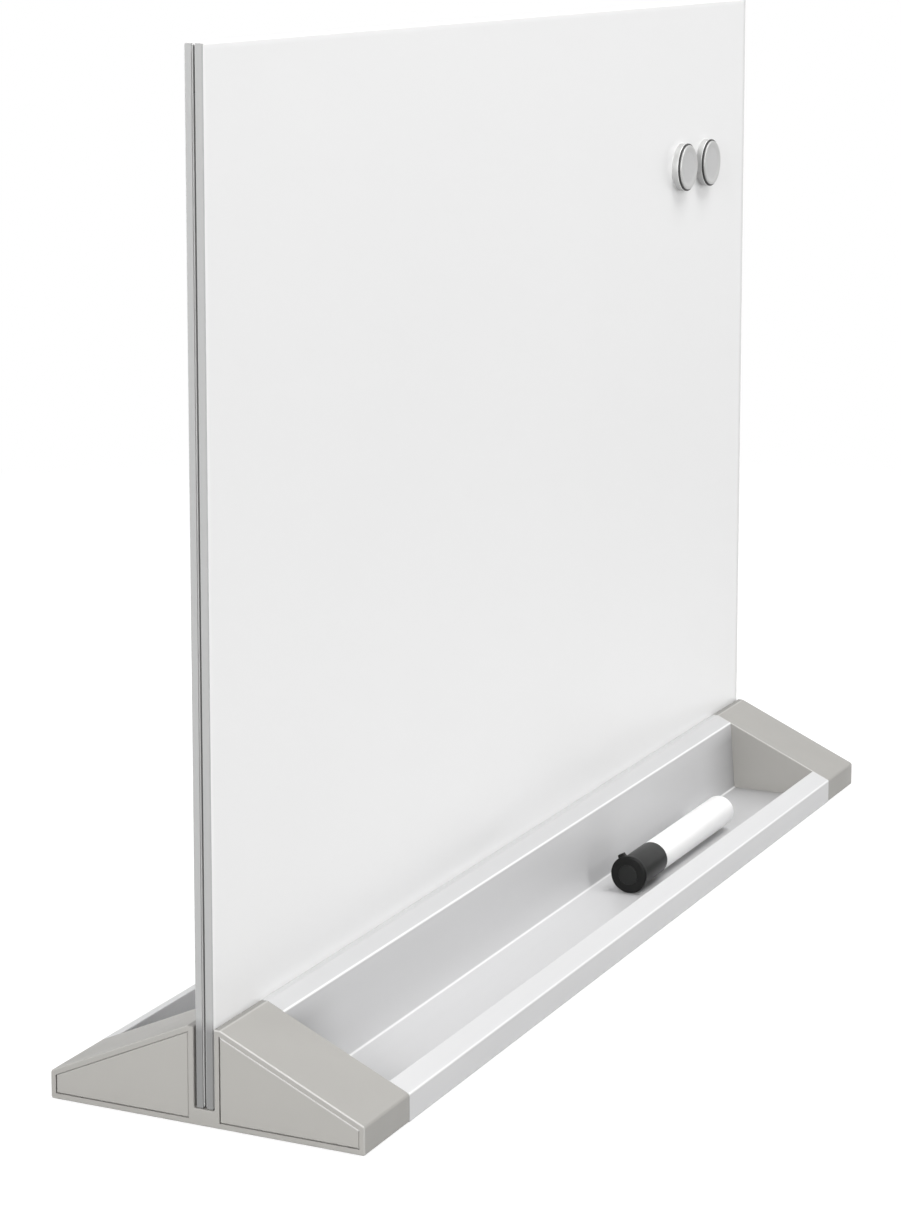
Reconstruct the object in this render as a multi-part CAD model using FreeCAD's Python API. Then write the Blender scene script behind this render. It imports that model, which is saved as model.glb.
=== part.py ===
import FreeCAD, Part
import math
import os

# Double-sided magnetic glass board that stands upright in a weighted base, with a pen tray
# along each face, two disc magnets on the front panel and one dry-wipe marker in the front tray.
# Millimetres. X runs along the board, the front faces -Y, Z is up from the desk.
# The origin is on the desk under the middle of the base.

# overall sizes
overall_length = 600.0      # over the outer faces of the two end caps
base_depth = 146.0          # front edge to back edge of the base
base_height = 42.0          # desk to the ledge beside the board
front_height = 12.5         # desk to the outer edge of the sloping top
overall_height = 437.5      # desk to the top edge of the board

# board: two glass panels, each on a steel sheet, taped back to back
glass_thickness = 3.2
steel_thickness = 0.5
tape_thickness = 0.8
board_end_recess = 0.8      # board end behind the outer face of the end cap
board_rest_height = 7.9     # desk to the bottom edge of the board
glass_edge_chamfer = 0.4
steel_inset = 0.6           # steel edge behind the glass edge
tape_inset = 1.2            # tape edge behind the glass edge
tape_width = 18.0
tape_joint_gap = 0.5        # between two lengths of tape
tape_stiles = 6             # upright lengths of tape, the two at the ends included

# slot and its lining
slot_side_gap = 0.6         # slot wall to panel face
liner_clearance = 0.1       # liner to panel face
liner_floor = 1.0
liner_set_down = 0.4        # liner top below the ledge
cap_slot_floor_gap = 0.3    # board bottom edge to the slot floor in an end cap

# extruded base profile
profile_wall = 1.6
foot_standoff = 0.5         # desk to the underside of the base
ledge_width = 3.0           # flat strip beside the slot
spine_half_width = 15.3     # centre to the top edge of the tray wall
tray_wall_draft = 2.7       # tray wall foot stands further out than its top
lip_width = 9.5             # outer lip of the tray
tray_fillet = 1.0
profile_edge_radius = 0.4
wall_edge_radius = 0.8      # top edge of the tray wall
lip_edge_radius = 0.6
spine_port_out = 11.2       # screw port in the spine: distance from centre
spine_port_height = 24.0
spine_port_diameter = 6.0
lip_port_out = 66.6
lip_port_height = 7.0
lip_port_diameter = 5.2

# end caps
cap_length = 40.0
cap_border = 2.4            # rim left round each cover plate
cap_corner_radius = 1.5
cap_foot_radius = 1.0
cap_slot_radius = 0.8
cap_edge_radius = 0.6
cap_joint_chamfer = 0.3     # on the edge that meets the profile and tops the tray's end wall
cap_inner_wall = 2.5        # wall that closes the tray
cover_seat = 1.1            # step that the cover plate lies on
cap_rib_out = 38.0          # stiffening rib: distance from centre
cap_rib_thickness = 1.6
tongue_length = 9.0         # tongue that enters the middle chamber of the profile
tongue_clearance = 0.3

# cover plates and their pegs
cover_thickness = 1.8
cover_recess = 0.2          # plate face behind the rim of the cap
cover_gap = 0.25            # plate edge to rim
cover_chamfer = 0.35
peg_diameter = 4.0
peg_length = 7.0
peg_clearance = 0.1
peg_boss_diameter = 7.0
peg_boss_gap = 0.3          # boss end to the back of the plate
near_peg_out = 22.0
near_peg_height = 19.0
far_peg_out = 53.0
far_peg_height = 11.0

# screws
screw_diameter = 2.9
screw_length = 14.0
screw_head_diameter = 5.0
screw_head_height = 2.0
screw_clearance = 0.05      # in the screw port
screw_hole_clearance = 0.3  # in the wall of the end cap

# feet
foot_diameter = 14.0
foot_thickness = 1.5
foot_pocket_clearance = 0.2
foot_from_end = 20.0        # foot centre to the outer face of the cap
foot_out = 50.0             # foot centre to the centre line
foot_chamfer = 0.3

# magnets
magnet_diameter = 25.0
magnet_body_height = 3.5    # polished body behind the grip ring
magnet_back_chamfer = 0.4
magnet_ring_height = 0.9
magnet_groove_depth = 1.6   # groove that the grip ring sits in
magnet_ring_clearance = 0.05
magnet_ring_taper = 0.2     # the ring's front edge is this much further in
magnet_face_inset = 0.8     # rim of the front face inside the body's diameter
magnet_face_height = 0.8    # front face above the ring
magnet_face_chamfer = 0.3
magnet_face_rim = 1.4       # flat rim round the dish in the front face
magnet_dish_depth = 0.5
magnet_dish_slope = 2.2     # width of the dish's sloping wall
core_diameter = 16.0
core_height = 2.4
core_clearance = 0.05
magnet_from_top = 85.5      # magnet centre below the top edge of the board
magnet_from_end = 61.2      # right magnet centre to the board end
magnet_spacing = 34.0

# marker, lying along the tray with its cap towards the left
marker_length = 129.7
marker_cap_length = 32.3
marker_cap_diameter = 16.6
marker_cap_wall = 1.2
marker_cap_end = 2.0
cap_collar_diameter = 18.8  # collar round the closed end of the cap
cap_collar_length = 3.0
cap_collar_chamfer = 0.7
cap_disc_diameter = 10.0    # raised disc on the closed end
cap_disc_height = 0.5
barrel_diameter = 16.2
barrel_wall = 1.6
barrel_end_round = 3.0
barrel_end_wall = 3.0
cap_to_barrel_gap = 0.3
neck_length = 8.0
neck_clearance = 0.2
holder_plug_length = 12.0
holder_clearance = 0.05
holder_cone_length = 12.0
holder_tip_diameter = 7.2
nib_diameter = 5.0
nib_point_length = 2.5
nib_point_diameter = 2.4
nib_clearance = 0.1
nib_reach = 7.0             # nib tip beyond the holder
nib_tail = 5.0              # nib buried in the ink reservoir
reservoir_diameter = 12.6
reservoir_end_gap = 2.0
fin_width = 3.4             # small fin that stops the marker rolling
fin_length = 4.6
fin_height = 1.4            # above the collar
fin_set_back = 0.3          # its foot behind the collar's end face
fin_slope = 1.0             # its front and back faces lean in by this much
fin_tilt = 27.0             # degrees from upright, towards the board
marker_from_end_cap = 76.4  # rear end of the marker to the right end cap
marker_out = 38.9           # marker axis to the centre line
marker_floor_gap = 0.3

cut_overrun = 1.0           # how far a cutting tool runs past the face it opens
same_place = 0.001          # edges this near to a plane lie in it

# sizes that follow from the ones above
board_thickness = 2 * glass_thickness + 2 * steel_thickness + tape_thickness
half_board = board_thickness / 2
half_tape = tape_thickness / 2
half_length = overall_length / 2
half_depth = base_depth / 2
slot_half = half_board + slot_side_gap
ledge_edge = slot_half + ledge_width
underside = foot_standoff
tray_floor = underside + profile_wall
profile_slot_floor = board_rest_height - liner_floor
cap_slot_floor = board_rest_height - cap_slot_floor_gap
spine_foot = spine_half_width + tray_wall_draft
lip_inner = half_depth - lip_width
profile_length = overall_length - 2 * cap_length
board_half_length = half_length - board_end_recess
slope_fall = (base_height - front_height) / (half_depth - ledge_edge)
slope_stretch = math.hypot(1, slope_fall)
port_hole_radius = screw_diameter / 2 + screw_clearance
cap_hole_radius = screw_diameter / 2 + screw_hole_clearance
barrel_radius = barrel_diameter / 2
barrel_mouth = marker_cap_length + cap_to_barrel_gap
holder_tip = barrel_mouth - neck_length - holder_cone_length
reservoir_start = barrel_mouth + holder_plug_length
marker_left_end = profile_length / 2 - marker_from_end_cap - marker_length
marker_height = tray_floor + marker_floor_gap + cap_collar_diameter / 2
screw_places = (
    (spine_port_out, spine_port_height),
    (lip_port_out, lip_port_height),
)
peg_places = (
    (near_peg_out, near_peg_height),
    (far_peg_out, far_peg_height),
)

ALONG = FreeCAD.Vector(1, 0, 0)
DEPTH = FreeCAD.Vector(0, 1, 0)
UP = FreeCAD.Vector(0, 0, 1)
ORIGIN = FreeCAD.Vector(0, 0, 0)


def slope_height(out):
    """Height of the sloping top at a distance out from the centre line."""
    return base_height - slope_fall * (out - ledge_edge)


def rounded_wire(corners, place):
    """Closed wire through corners (a, b, radius), where place(a, b) gives the point in space."""
    points = [place(a, b) for a, b, _ in corners]
    arrivals, departures, arcs = [], [], []
    for i, (_, _, radius) in enumerate(corners):
        point = points[i]
        if radius <= 0:
            arrivals.append(point)
            departures.append(point)
            arcs.append(None)
            continue
        back = (points[i - 1] - point).normalize()
        ahead = (points[(i + 1) % len(points)] - point).normalize()
        half_angle = back.getAngle(ahead) / 2
        reach = radius / math.tan(half_angle)
        inward = (back + ahead).normalize()
        middle = point + inward * (radius / math.sin(half_angle) - radius)
        arrivals.append(point + back * reach)
        departures.append(point + ahead * reach)
        arcs.append(Part.Arc(arrivals[i], middle, departures[i]).toShape())
    edges = []
    for i, arc in enumerate(arcs):
        if arc:
            edges.append(arc)
        following = arrivals[(i + 1) % len(points)]
        edges.append(Part.LineSegment(departures[i], following).toShape())
    return Part.Wire(edges)


def prism(x, length, corners):
    """Solid that runs along X from x; the corners (y, z, radius) give its section."""
    wire = rounded_wire(corners, lambda y, z: FreeCAD.Vector(x, y, z))
    return Part.Face(wire).extrude(ALONG * length)


def lathe(corners, place, axis):
    """Solid turned about an axis through the origin; the corners are (a, radius, rounding)."""
    return Part.Face(rounded_wire(corners, place)).revolve(ORIGIN, axis, 360)


def rod(x, length, y, z, diameter):
    """Round bar along X."""
    return Part.makeCylinder(diameter / 2, length, FreeCAD.Vector(x, y, z), ALONG)


def block(x_range, y_range, z_range):
    """Box between two values on each axis."""
    low = FreeCAD.Vector(x_range[0], y_range[0], z_range[0])
    return Part.makeBox(
        x_range[1] - x_range[0], y_range[1] - y_range[0], z_range[1] - z_range[0], low
    )


def both_sides(corners):
    """Adds the mirror image of the +Y half of an outline, so that it closes round the base."""
    return corners + [(-y, z, radius) for y, z, radius in reversed(corners)]


def edges_at_x(shape, x):
    """Edges that lie in the plane at x."""
    return [
        edge for edge in shape.Edges
        if abs(edge.BoundBox.XMin - x) < same_place and abs(edge.BoundBox.XMax - x) < same_place
    ]


def mirror_y(shape):
    return shape.mirror(ORIGIN, DEPTH)


def mirror_x(shape):
    return shape.mirror(ORIGIN, ALONG)


# base


def base_outline():
    """Outline of the extruded profile: slot, ledge, slope, tray and lip on each side."""
    half = [
        (slot_half, profile_slot_floor, 0),
        (slot_half, base_height, profile_edge_radius),
        (ledge_edge, base_height, profile_edge_radius),
        (spine_half_width, slope_height(spine_half_width), wall_edge_radius),
        (spine_foot, tray_floor, tray_fillet),
        (lip_inner, tray_floor, tray_fillet),
        (lip_inner, slope_height(lip_inner), profile_edge_radius),
        (half_depth, front_height, lip_edge_radius),
        (half_depth, underside, profile_edge_radius),
    ]
    return both_sides(half)


def profile_cells():
    """Hollow cells of one +Y half of the profile, with the screw ports and their webs left solid."""
    start = -profile_length / 2 - cut_overrun
    length = profile_length + 2 * cut_overrun
    inner = slot_half + profile_wall
    wall_top = spine_half_width - profile_wall
    wall_foot = spine_foot - profile_wall
    roof_drop = profile_wall * slope_stretch
    spine = prism(start, length, [
        (inner, tray_floor, 0),
        (inner, base_height - profile_wall, 0),
        (ledge_edge, slope_height(ledge_edge) - roof_drop, 0),
        (wall_top, slope_height(wall_top) - roof_drop, 0),
        (wall_foot, tray_floor, 0),
    ])
    web = block(
        (start, start + length),
        (inner - cut_overrun, wall_foot + cut_overrun),
        (spine_port_height - profile_wall / 2, spine_port_height + profile_wall / 2),
    )
    spine_port = rod(start, length, spine_port_out, spine_port_height, spine_port_diameter)
    lip_in = lip_inner + profile_wall
    lip_out = half_depth - profile_wall
    lip = prism(start, length, [
        (lip_in, tray_floor, 0),
        (lip_in, slope_height(lip_in) - roof_drop, 0),
        (lip_out, slope_height(lip_out) - roof_drop, 0),
        (lip_out, tray_floor, 0),
    ])
    lip_port = rod(start, length, lip_port_out, lip_port_height, lip_port_diameter)
    holes = [rod(start, length, out, height, 2 * port_hole_radius) for out, height in screw_places]
    return [spine.cut([web, spine_port]), lip.cut(lip_port)] + holes


def make_base_extrusion():
    body = prism(-profile_length / 2, profile_length, base_outline())
    cells = profile_cells()
    middle = block(
        (-profile_length / 2 - cut_overrun, profile_length / 2 + cut_overrun),
        (-slot_half, slot_half),
        (tray_floor, profile_slot_floor - profile_wall),
    )
    return body.cut(cells + [mirror_y(cell) for cell in cells] + [middle])


def make_slot_liner():
    """Soft U-shaped lining that grips the board along the profile."""
    inner = half_board + liner_clearance
    top = base_height - liner_set_down
    return prism(-profile_length / 2, profile_length, both_sides([
        (inner, board_rest_height, 0),
        (inner, top, 0),
        (slot_half, top, 0),
        (slot_half, profile_slot_floor, 0),
    ]))


# end caps


def cover_outline(margin):
    """Trapezium of a cover plate on the +Y side, drawn in from the cap's rim by a margin."""
    rim = cap_border + margin
    near = slot_half + rim
    far = half_depth - rim
    low = underside + rim
    drop = rim * slope_stretch
    return [
        (near, low, 0),
        (near, slope_height(near) - drop, 0),
        (far, slope_height(far) - drop, 0),
        (far, low, 0),
    ]


def cap_pocket():
    """What is taken out of the +Y lobe of the left cap: cover seat and hollow, less rib and bosses."""
    face = -half_length
    seat = cover_thickness + cover_recess
    rebate = prism(face - cut_overrun, cut_overrun + seat, cover_outline(0))
    hollow_depth = cap_length - cap_inner_wall
    hollow = prism(face, hollow_depth, cover_outline(cover_seat))
    rib = block(
        (face + seat, face + cap_length),
        (cap_rib_out - cap_rib_thickness / 2, cap_rib_out + cap_rib_thickness / 2),
        (underside, base_height),
    )
    boss_start = face + seat + peg_boss_gap
    kept = [rib]
    for out, height in peg_places:
        boss = rod(boss_start, face + cap_length - boss_start, out, height, peg_boss_diameter)
        bore = rod(
            boss_start - cut_overrun, peg_length + cut_overrun,
            out, height, peg_diameter + 2 * peg_clearance,
        )
        kept.append(boss.cut(bore))
    return [rebate, hollow.cut(kept)]


def make_end_cap():
    """Left end cap: one moulding with a lobe each side of the slot."""
    face = -half_length
    body = prism(face, cap_length, both_sides([
        (slot_half, cap_slot_floor, cap_slot_radius),
        (slot_half, base_height, profile_edge_radius),
        (ledge_edge, base_height, profile_edge_radius),
        (half_depth, front_height, cap_corner_radius),
        (half_depth, underside, cap_foot_radius),
    ]))
    body = body.makeFillet(cap_edge_radius, edges_at_x(body, face))
    body = body.makeChamfer(cap_joint_chamfer, edges_at_x(body, face + cap_length))
    pockets = cap_pocket()
    holes = []
    for out, height in screw_places:
        wall = face + cap_length - cap_inner_wall
        holes.append(rod(
            wall - cut_overrun, cap_inner_wall + 2 * cut_overrun, out, height, 2 * cap_hole_radius
        ))
    foot_pocket = Part.makeCylinder(
        foot_diameter / 2 + foot_pocket_clearance, foot_thickness + cut_overrun,
        FreeCAD.Vector(face + foot_from_end, foot_out, -cut_overrun), UP,
    )
    cuts = pockets + holes + [foot_pocket]
    body = body.cut(cuts + [mirror_y(tool) for tool in cuts])
    tongue = block(
        (face + cap_length - cut_overrun, face + cap_length + tongue_length),
        (-slot_half + tongue_clearance, slot_half - tongue_clearance),
        (tray_floor + tongue_clearance, profile_slot_floor - profile_wall - tongue_clearance),
    )
    return body.fuse(tongue).removeSplitter()


def make_cover_plate():
    """Cover plate of the left cap's +Y lobe, with two pegs on its back."""
    front = -half_length + cover_recess
    plate = prism(front, cover_thickness, cover_outline(cover_gap))
    plate = plate.makeChamfer(cover_chamfer, edges_at_x(plate, front))
    for out, height in peg_places:
        peg = rod(front + cover_thickness / 2, cover_thickness / 2 + peg_length,
                  out, height, peg_diameter)
        plate = plate.fuse(peg)
    return plate.removeSplitter()


def make_screw(out, height):
    """Screw that holds the left cap to the profile."""
    seat = -half_length + cap_length - cap_inner_wall
    head = rod(seat - screw_head_height, screw_head_height, out, height, screw_head_diameter)
    shank = rod(seat, screw_length, out, height, screw_diameter)
    return head.fuse(shank).removeSplitter()


def make_cap_screws():
    """The four screws of the left cap."""
    screws = [make_screw(out, height) for out, height in screw_places]
    return Part.makeCompound(screws + [mirror_y(screw) for screw in screws])


def make_rubber_feet():
    """Four round pads, set in pockets under the caps."""
    feet = []
    for x in (-half_length + foot_from_end, half_length - foot_from_end):
        for y in (-foot_out, foot_out):
            pad = Part.makeCylinder(foot_diameter / 2, foot_thickness, FreeCAD.Vector(x, y, 0), UP)
            sole = [e for e in pad.Edges if e.BoundBox.ZMax < foot_thickness / 2]
            feet.append(pad.makeChamfer(foot_chamfer, sole))
    return Part.makeCompound(feet)


# board


def make_glass_panel():
    """Front panel, with ground edges on its writing face."""
    face = -half_board
    panel = block(
        (-board_half_length, board_half_length),
        (face, face + glass_thickness),
        (board_rest_height, overall_height),
    )
    rim = [edge for edge in panel.Edges if edge.BoundBox.YMax < face + same_place]
    return panel.makeChamfer(glass_edge_chamfer, rim)


def make_steel_sheet():
    """Steel behind the front panel, which the magnets pull on."""
    back = -half_board + glass_thickness
    return block(
        (-board_half_length + steel_inset, board_half_length - steel_inset),
        (back, back + steel_thickness),
        (board_rest_height + steel_inset, overall_height - steel_inset),
    )


def make_bonding_tape():
    """Foam tape between the steel sheets: a run along the top and the bottom, and stiles between."""
    end = board_half_length - tape_inset
    low = board_rest_height + tape_inset
    high = overall_height - tape_inset
    pieces = [
        block((-end, end), (-half_tape, half_tape), (low, low + tape_width)),
        block((-end, end), (-half_tape, half_tape), (high - tape_width, high)),
    ]
    pitch = (2 * end - tape_width) / (tape_stiles - 1)
    for i in range(tape_stiles):
        left = -end + i * pitch
        pieces.append(block(
            (left, left + tape_width), (-half_tape, half_tape),
            (low + tape_width + tape_joint_gap, high - tape_width - tape_joint_gap),
        ))
    return Part.makeCompound(pieces)


# magnets, turned about an axis that leaves the front panel


def magnet_point(rise, radius):
    """Point at a height above the front panel and a distance from the magnet's axis."""
    return FreeCAD.Vector(radius, -half_board - rise, 0)


def turned_magnet(corners):
    return lathe(corners, magnet_point, DEPTH)


def make_magnet_housing():
    """Polished body with a groove round its side and a dished front face."""
    radius = magnet_diameter / 2
    groove = radius - magnet_groove_depth
    face = radius - magnet_face_inset
    pocket = core_diameter / 2 + core_clearance
    shoulder = magnet_body_height + magnet_ring_height
    front = shoulder + magnet_face_height
    dish = face - magnet_face_rim
    return turned_magnet([
        (core_height, 0, 0),
        (core_height, pocket, 0),
        (0, pocket, 0),
        (0, radius - magnet_back_chamfer, 0),
        (magnet_back_chamfer, radius, 0),
        (magnet_body_height, radius, 0),
        (magnet_body_height, groove, 0),
        (shoulder, groove, 0),
        (shoulder, face, 0),
        (front - magnet_face_chamfer, face, 0),
        (front, face - magnet_face_chamfer, 0),
        (front, dish, 0),
        (front - magnet_dish_depth, dish - magnet_dish_slope, 0),
        (front - magnet_dish_depth, 0, 0),
    ])


def make_magnet_ring():
    """Dark grip ring in the groove round the magnet."""
    radius = magnet_diameter / 2
    inner = radius - magnet_groove_depth + magnet_ring_clearance
    low = magnet_body_height
    high = low + magnet_ring_height
    return turned_magnet([
        (low, inner, 0),
        (low, radius, 0),
        (high, radius - magnet_ring_taper, 0),
        (high, inner, 0),
    ])


def make_magnet_core():
    """Nickel-plated disc magnet, flush with the back of the housing."""
    return Part.makeCylinder(
        core_diameter / 2, core_height, FreeCAD.Vector(0, -half_board, 0), DEPTH * -1
    )


def on_board(shape, x):
    """Moves a magnet piece from the centre line to its place on the front panel."""
    return shape.translated(FreeCAD.Vector(x, 0, overall_height - magnet_from_top))


# marker, turned about its own axis; u runs from the cap's end to the rear


def marker_point(u, radius):
    return FreeCAD.Vector(u, 0, radius)


def turned_marker(corners):
    return lathe(corners, marker_point, ALONG)


def in_tray(shape):
    """Lays a marker piece along the front tray."""
    return shape.translated(FreeCAD.Vector(marker_left_end, -marker_out, marker_height))


def make_marker_cap():
    """Push-on cap: a collar and a raised disc on its closed end, and the anti-roll fin."""
    radius = marker_cap_diameter / 2
    bore = radius - marker_cap_wall
    collar = cap_collar_diameter / 2
    disc = cap_disc_diameter / 2
    cup = turned_marker([
        (0, 0, 0),
        (0, disc, 0),
        (cap_disc_height, disc, 0),
        (cap_disc_height, collar - cap_collar_chamfer, 0),
        (cap_disc_height + cap_collar_chamfer, collar, 0),
        (cap_collar_length, collar, 0),
        (cap_collar_length, radius, 0),
        (marker_cap_length, radius, 0),
        (marker_cap_length, bore, 0),
        (marker_cap_end, bore, 0),
        (marker_cap_end, 0, 0),
    ])
    root = (radius + bore) / 2
    crest = collar + fin_height
    front = cap_disc_height + fin_set_back
    back = front + fin_length
    fin_side = Part.Face(rounded_wire(
        [(front, root, 0), (front + fin_slope, crest, 0),
         (back - fin_slope, crest, 0), (back, root, 0)],
        lambda u, height: FreeCAD.Vector(u, -fin_width / 2, height),
    ))
    fin = fin_side.extrude(DEPTH * fin_width)
    fin.rotate(ORIGIN, ALONG, -fin_tilt)
    return in_tray(cup.fuse(fin).removeSplitter())


def make_marker_barrel():
    """Ink barrel, closed and rounded at the rear."""
    bore = barrel_radius - barrel_wall
    inner_end = marker_length - barrel_end_wall
    return in_tray(turned_marker([
        (barrel_mouth, bore, 0),
        (barrel_mouth, barrel_radius, 0),
        (marker_length, barrel_radius, barrel_end_round),
        (marker_length, 0, 0),
        (inner_end, 0, 0),
        (inner_end, bore, 0),
    ]))


def make_nib_holder():
    """Plug in the barrel's mouth, with the neck that the cap grips and the cone round the nib."""
    plug = barrel_radius - barrel_wall - holder_clearance
    neck = marker_cap_diameter / 2 - marker_cap_wall - neck_clearance
    tip = holder_tip_diameter / 2
    bore = nib_diameter / 2 + nib_clearance
    neck_start = barrel_mouth - neck_length
    return in_tray(turned_marker([
        (holder_tip, bore, 0),
        (holder_tip, tip, 0),
        (neck_start, neck, 0),
        (barrel_mouth, neck, 0),
        (barrel_mouth, plug, 0),
        (reservoir_start, plug, 0),
        (reservoir_start, bore, 0),
    ]))


def make_nib():
    """Bullet nib, from the tip to the ink reservoir."""
    tip = holder_tip - nib_reach
    tail = reservoir_start + nib_tail
    radius = nib_diameter / 2
    return in_tray(turned_marker([
        (tip, 0, 0),
        (tip, nib_point_diameter / 2, 0),
        (tip + nib_point_length, radius, 0),
        (tail, radius, 0),
        (tail, 0, 0),
    ]))


def make_ink_reservoir():
    """Fibre rod that feeds the nib."""
    end = marker_length - barrel_end_wall - reservoir_end_gap
    radius = reservoir_diameter / 2
    bore = nib_diameter / 2 + nib_clearance
    return in_tray(turned_marker([
        (reservoir_start, bore, 0),
        (reservoir_start, radius, 0),
        (end, radius, 0),
        (end, 0, 0),
        (reservoir_start + nib_tail, 0, 0),
        (reservoir_start + nib_tail, bore, 0),
    ]))


# the whole object


def build():
    pieces = {
        "base_extrusion": make_base_extrusion(),
        "slot_liner": make_slot_liner(),
        "rubber_feet": make_rubber_feet(),
    }
    cap = make_end_cap()
    screws = make_cap_screws()
    cover = make_cover_plate()
    pieces["end_cap_left"] = cap
    pieces["end_cap_right"] = mirror_x(cap)
    pieces["cap_screws_left"] = screws
    pieces["cap_screws_right"] = mirror_x(screws)
    pieces["cover_plate_left_back"] = cover
    pieces["cover_plate_left_front"] = mirror_y(cover)
    pieces["cover_plate_right_back"] = mirror_x(cover)
    pieces["cover_plate_right_front"] = mirror_x(mirror_y(cover))
    glass = make_glass_panel()
    steel = make_steel_sheet()
    pieces["glass_panel_front"] = glass
    pieces["glass_panel_back"] = mirror_y(glass)
    pieces["steel_sheet_front"] = steel
    pieces["steel_sheet_back"] = mirror_y(steel)
    pieces["bonding_tape"] = make_bonding_tape()
    right_magnet = board_half_length - magnet_from_end
    for side, x in (("left", right_magnet - magnet_spacing), ("right", right_magnet)):
        pieces[f"magnet_housing_{side}"] = on_board(make_magnet_housing(), x)
        pieces[f"magnet_ring_{side}"] = on_board(make_magnet_ring(), x)
        pieces[f"magnet_core_{side}"] = on_board(make_magnet_core(), x)
    pieces["marker_cap"] = make_marker_cap()
    pieces["marker_barrel"] = make_marker_barrel()
    pieces["marker_nib_holder"] = make_nib_holder()
    pieces["marker_nib"] = make_nib()
    pieces["marker_ink_reservoir"] = make_ink_reservoir()
    return pieces


def main():
    os.makedirs("parts", exist_ok=True)
    for name, shape in build().items():
        for solid in shape.Solids:
            if not solid.isValid() or solid.Volume <= 0:
                raise ValueError(f"{name} has a bad solid")
        shape.exportStep(f"parts/{name}.step")
        box = shape.BoundBox
        print(f"{name}: {len(shape.Solids)} solid(s), volume {shape.Volume:.0f} mm3, "
              f"{box.XLength:.1f} x {box.YLength:.1f} x {box.ZLength:.1f}")


main()
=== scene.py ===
"""Looks of a double-sided magnetic desk whiteboard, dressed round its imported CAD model."""

import math

import bmesh
import bpy
from bpy.props import FloatProperty, FloatVectorProperty, IntProperty, PointerProperty
from mathutils import Matrix, Vector


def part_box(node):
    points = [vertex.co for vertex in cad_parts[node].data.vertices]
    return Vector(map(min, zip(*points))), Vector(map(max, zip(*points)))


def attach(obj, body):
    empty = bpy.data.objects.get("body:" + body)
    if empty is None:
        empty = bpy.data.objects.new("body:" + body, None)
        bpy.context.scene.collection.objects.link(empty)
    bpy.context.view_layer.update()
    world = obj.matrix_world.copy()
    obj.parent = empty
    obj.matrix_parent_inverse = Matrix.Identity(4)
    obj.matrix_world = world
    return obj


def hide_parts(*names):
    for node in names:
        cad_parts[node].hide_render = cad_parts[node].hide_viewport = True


bl_info = {
    "name": "Desk whiteboard looks",
    "version": (1, 0, 0),
    "blender": (4, 5, 0),
    "location": "View3D > Sidebar > Desk board",
    "description": "Finishes, small turned pieces and stage of a double-sided desk whiteboard",
    "category": "Object",
}

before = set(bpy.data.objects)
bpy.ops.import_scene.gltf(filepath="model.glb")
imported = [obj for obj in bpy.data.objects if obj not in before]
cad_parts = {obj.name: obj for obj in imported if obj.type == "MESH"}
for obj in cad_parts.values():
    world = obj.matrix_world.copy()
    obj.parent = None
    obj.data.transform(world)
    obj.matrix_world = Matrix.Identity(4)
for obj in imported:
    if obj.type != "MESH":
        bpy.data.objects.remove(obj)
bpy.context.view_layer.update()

SIDES = ("left", "right")
BLACK = (0.0, 0.0, 0.0)
WHITE = (1.0, 1.0, 1.0, 1.0)

# mesh work: a distance taken as none, faces across a rounding, and the angle of a sharp edge
SAME_PLACE = 1e-6
ROUND_FACES = 4
FIN_ROUND_FACES = 3
SHARP_ANGLE = math.radians(35)

# sockets of a mix node that mixes colours
MIX_INPUTS = (0, 6, 7)
MIX_OUTPUT = 2

# lowest and highest roughness of each finish
ROUGHNESS = {
    "profile": (0.38, 0.46),
    "end cap": (0.40, 0.52),
    "cover plate": (0.38, 0.50),
    "lining": (0.60, 0.70),
    "foot": (0.65, 0.80),
    "screw": (0.20, 0.30),
    "glass": (0.22, 0.27),
    "steel sheet": (0.40, 0.50),
    "foam tape": (0.85, 0.95),
    "magnet body": (0.42, 0.48),
    "grip ring": (0.50, 0.62),
    "magnet core": (0.20, 0.30),
    "marker cap": (0.30, 0.38),
    "barrel": (0.30, 0.36),
    "nib holder": (0.40, 0.50),
    "nib": (0.85, 0.95),
    "reservoir": (0.80, 0.95),
}

# part of the noise that smudges from handling take up
SMUDGE_RANGE = (0.35, 0.65)

# drawn metal: share of the fine lines in the height, and size of the broad ones beside them
FINE_SHARE = 0.6
BROAD_SCALE = 0.12

# base: half the width over which the painted highlights change from front to back, fall-off of the
# painted shade in the tray's corners, and reach of the profile's painted highlight lines in mark widths
MIDDLE_FADE = 0.001
CORNER_SHADE_CURVE = 1.6
LINE_SPREAD = 1.3

# glass: where its ground edge starts and its pale top begins, in edge widths, how far the
# painted shade in the slot fades below and above the slot's height, and the paint's faint clouds
GROUND_START = 0.9
PALE_REACH = 3.0
SLOT_FADE = (0.002, 0.004)
CLOUD_SHADE = 0.015
CLOUD_SIZE = 6.0
GLASS_COAT = 0.25

# ground glass and a magnet's satin face are rougher than what is round them by this
EXTRA_ROUGHNESS = 0.25

# magnets: turning rings across a metre, their depth, their shade on the body and the face,
# and the part of the face's radius at which the satin has faded
TURNING_RINGS = 9000.0
RING_DEPTH = 1e-6
RING_SHADE = 0.04
FACE_RING_SHADE = 0.08
FACE_FADE = 1.15

# stage: lamps as (name, setting of the power, place, side), all facing one point, and how
# sharply the soft light from the right falls off
LAMPS = (
    ("Overhead", "overhead", (0.35, -1.25, 3.05), 1.4),
    ("Front", "front", (0.1, -2.85, 1.60), 1.0),
    ("Left", "left", (-2.99, -0.23, 1.01), 1.0),
    ("Back", "back", (-2.15, 1.61, 1.81), 1.0),
    ("Rear", "rear", (0.60, 3.00, 0.60), 1.0),
)
LAMP_TARGET = (0.1, 0.0, 0.2)
SIDE_LIGHT_CURVE = 4.0

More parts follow.
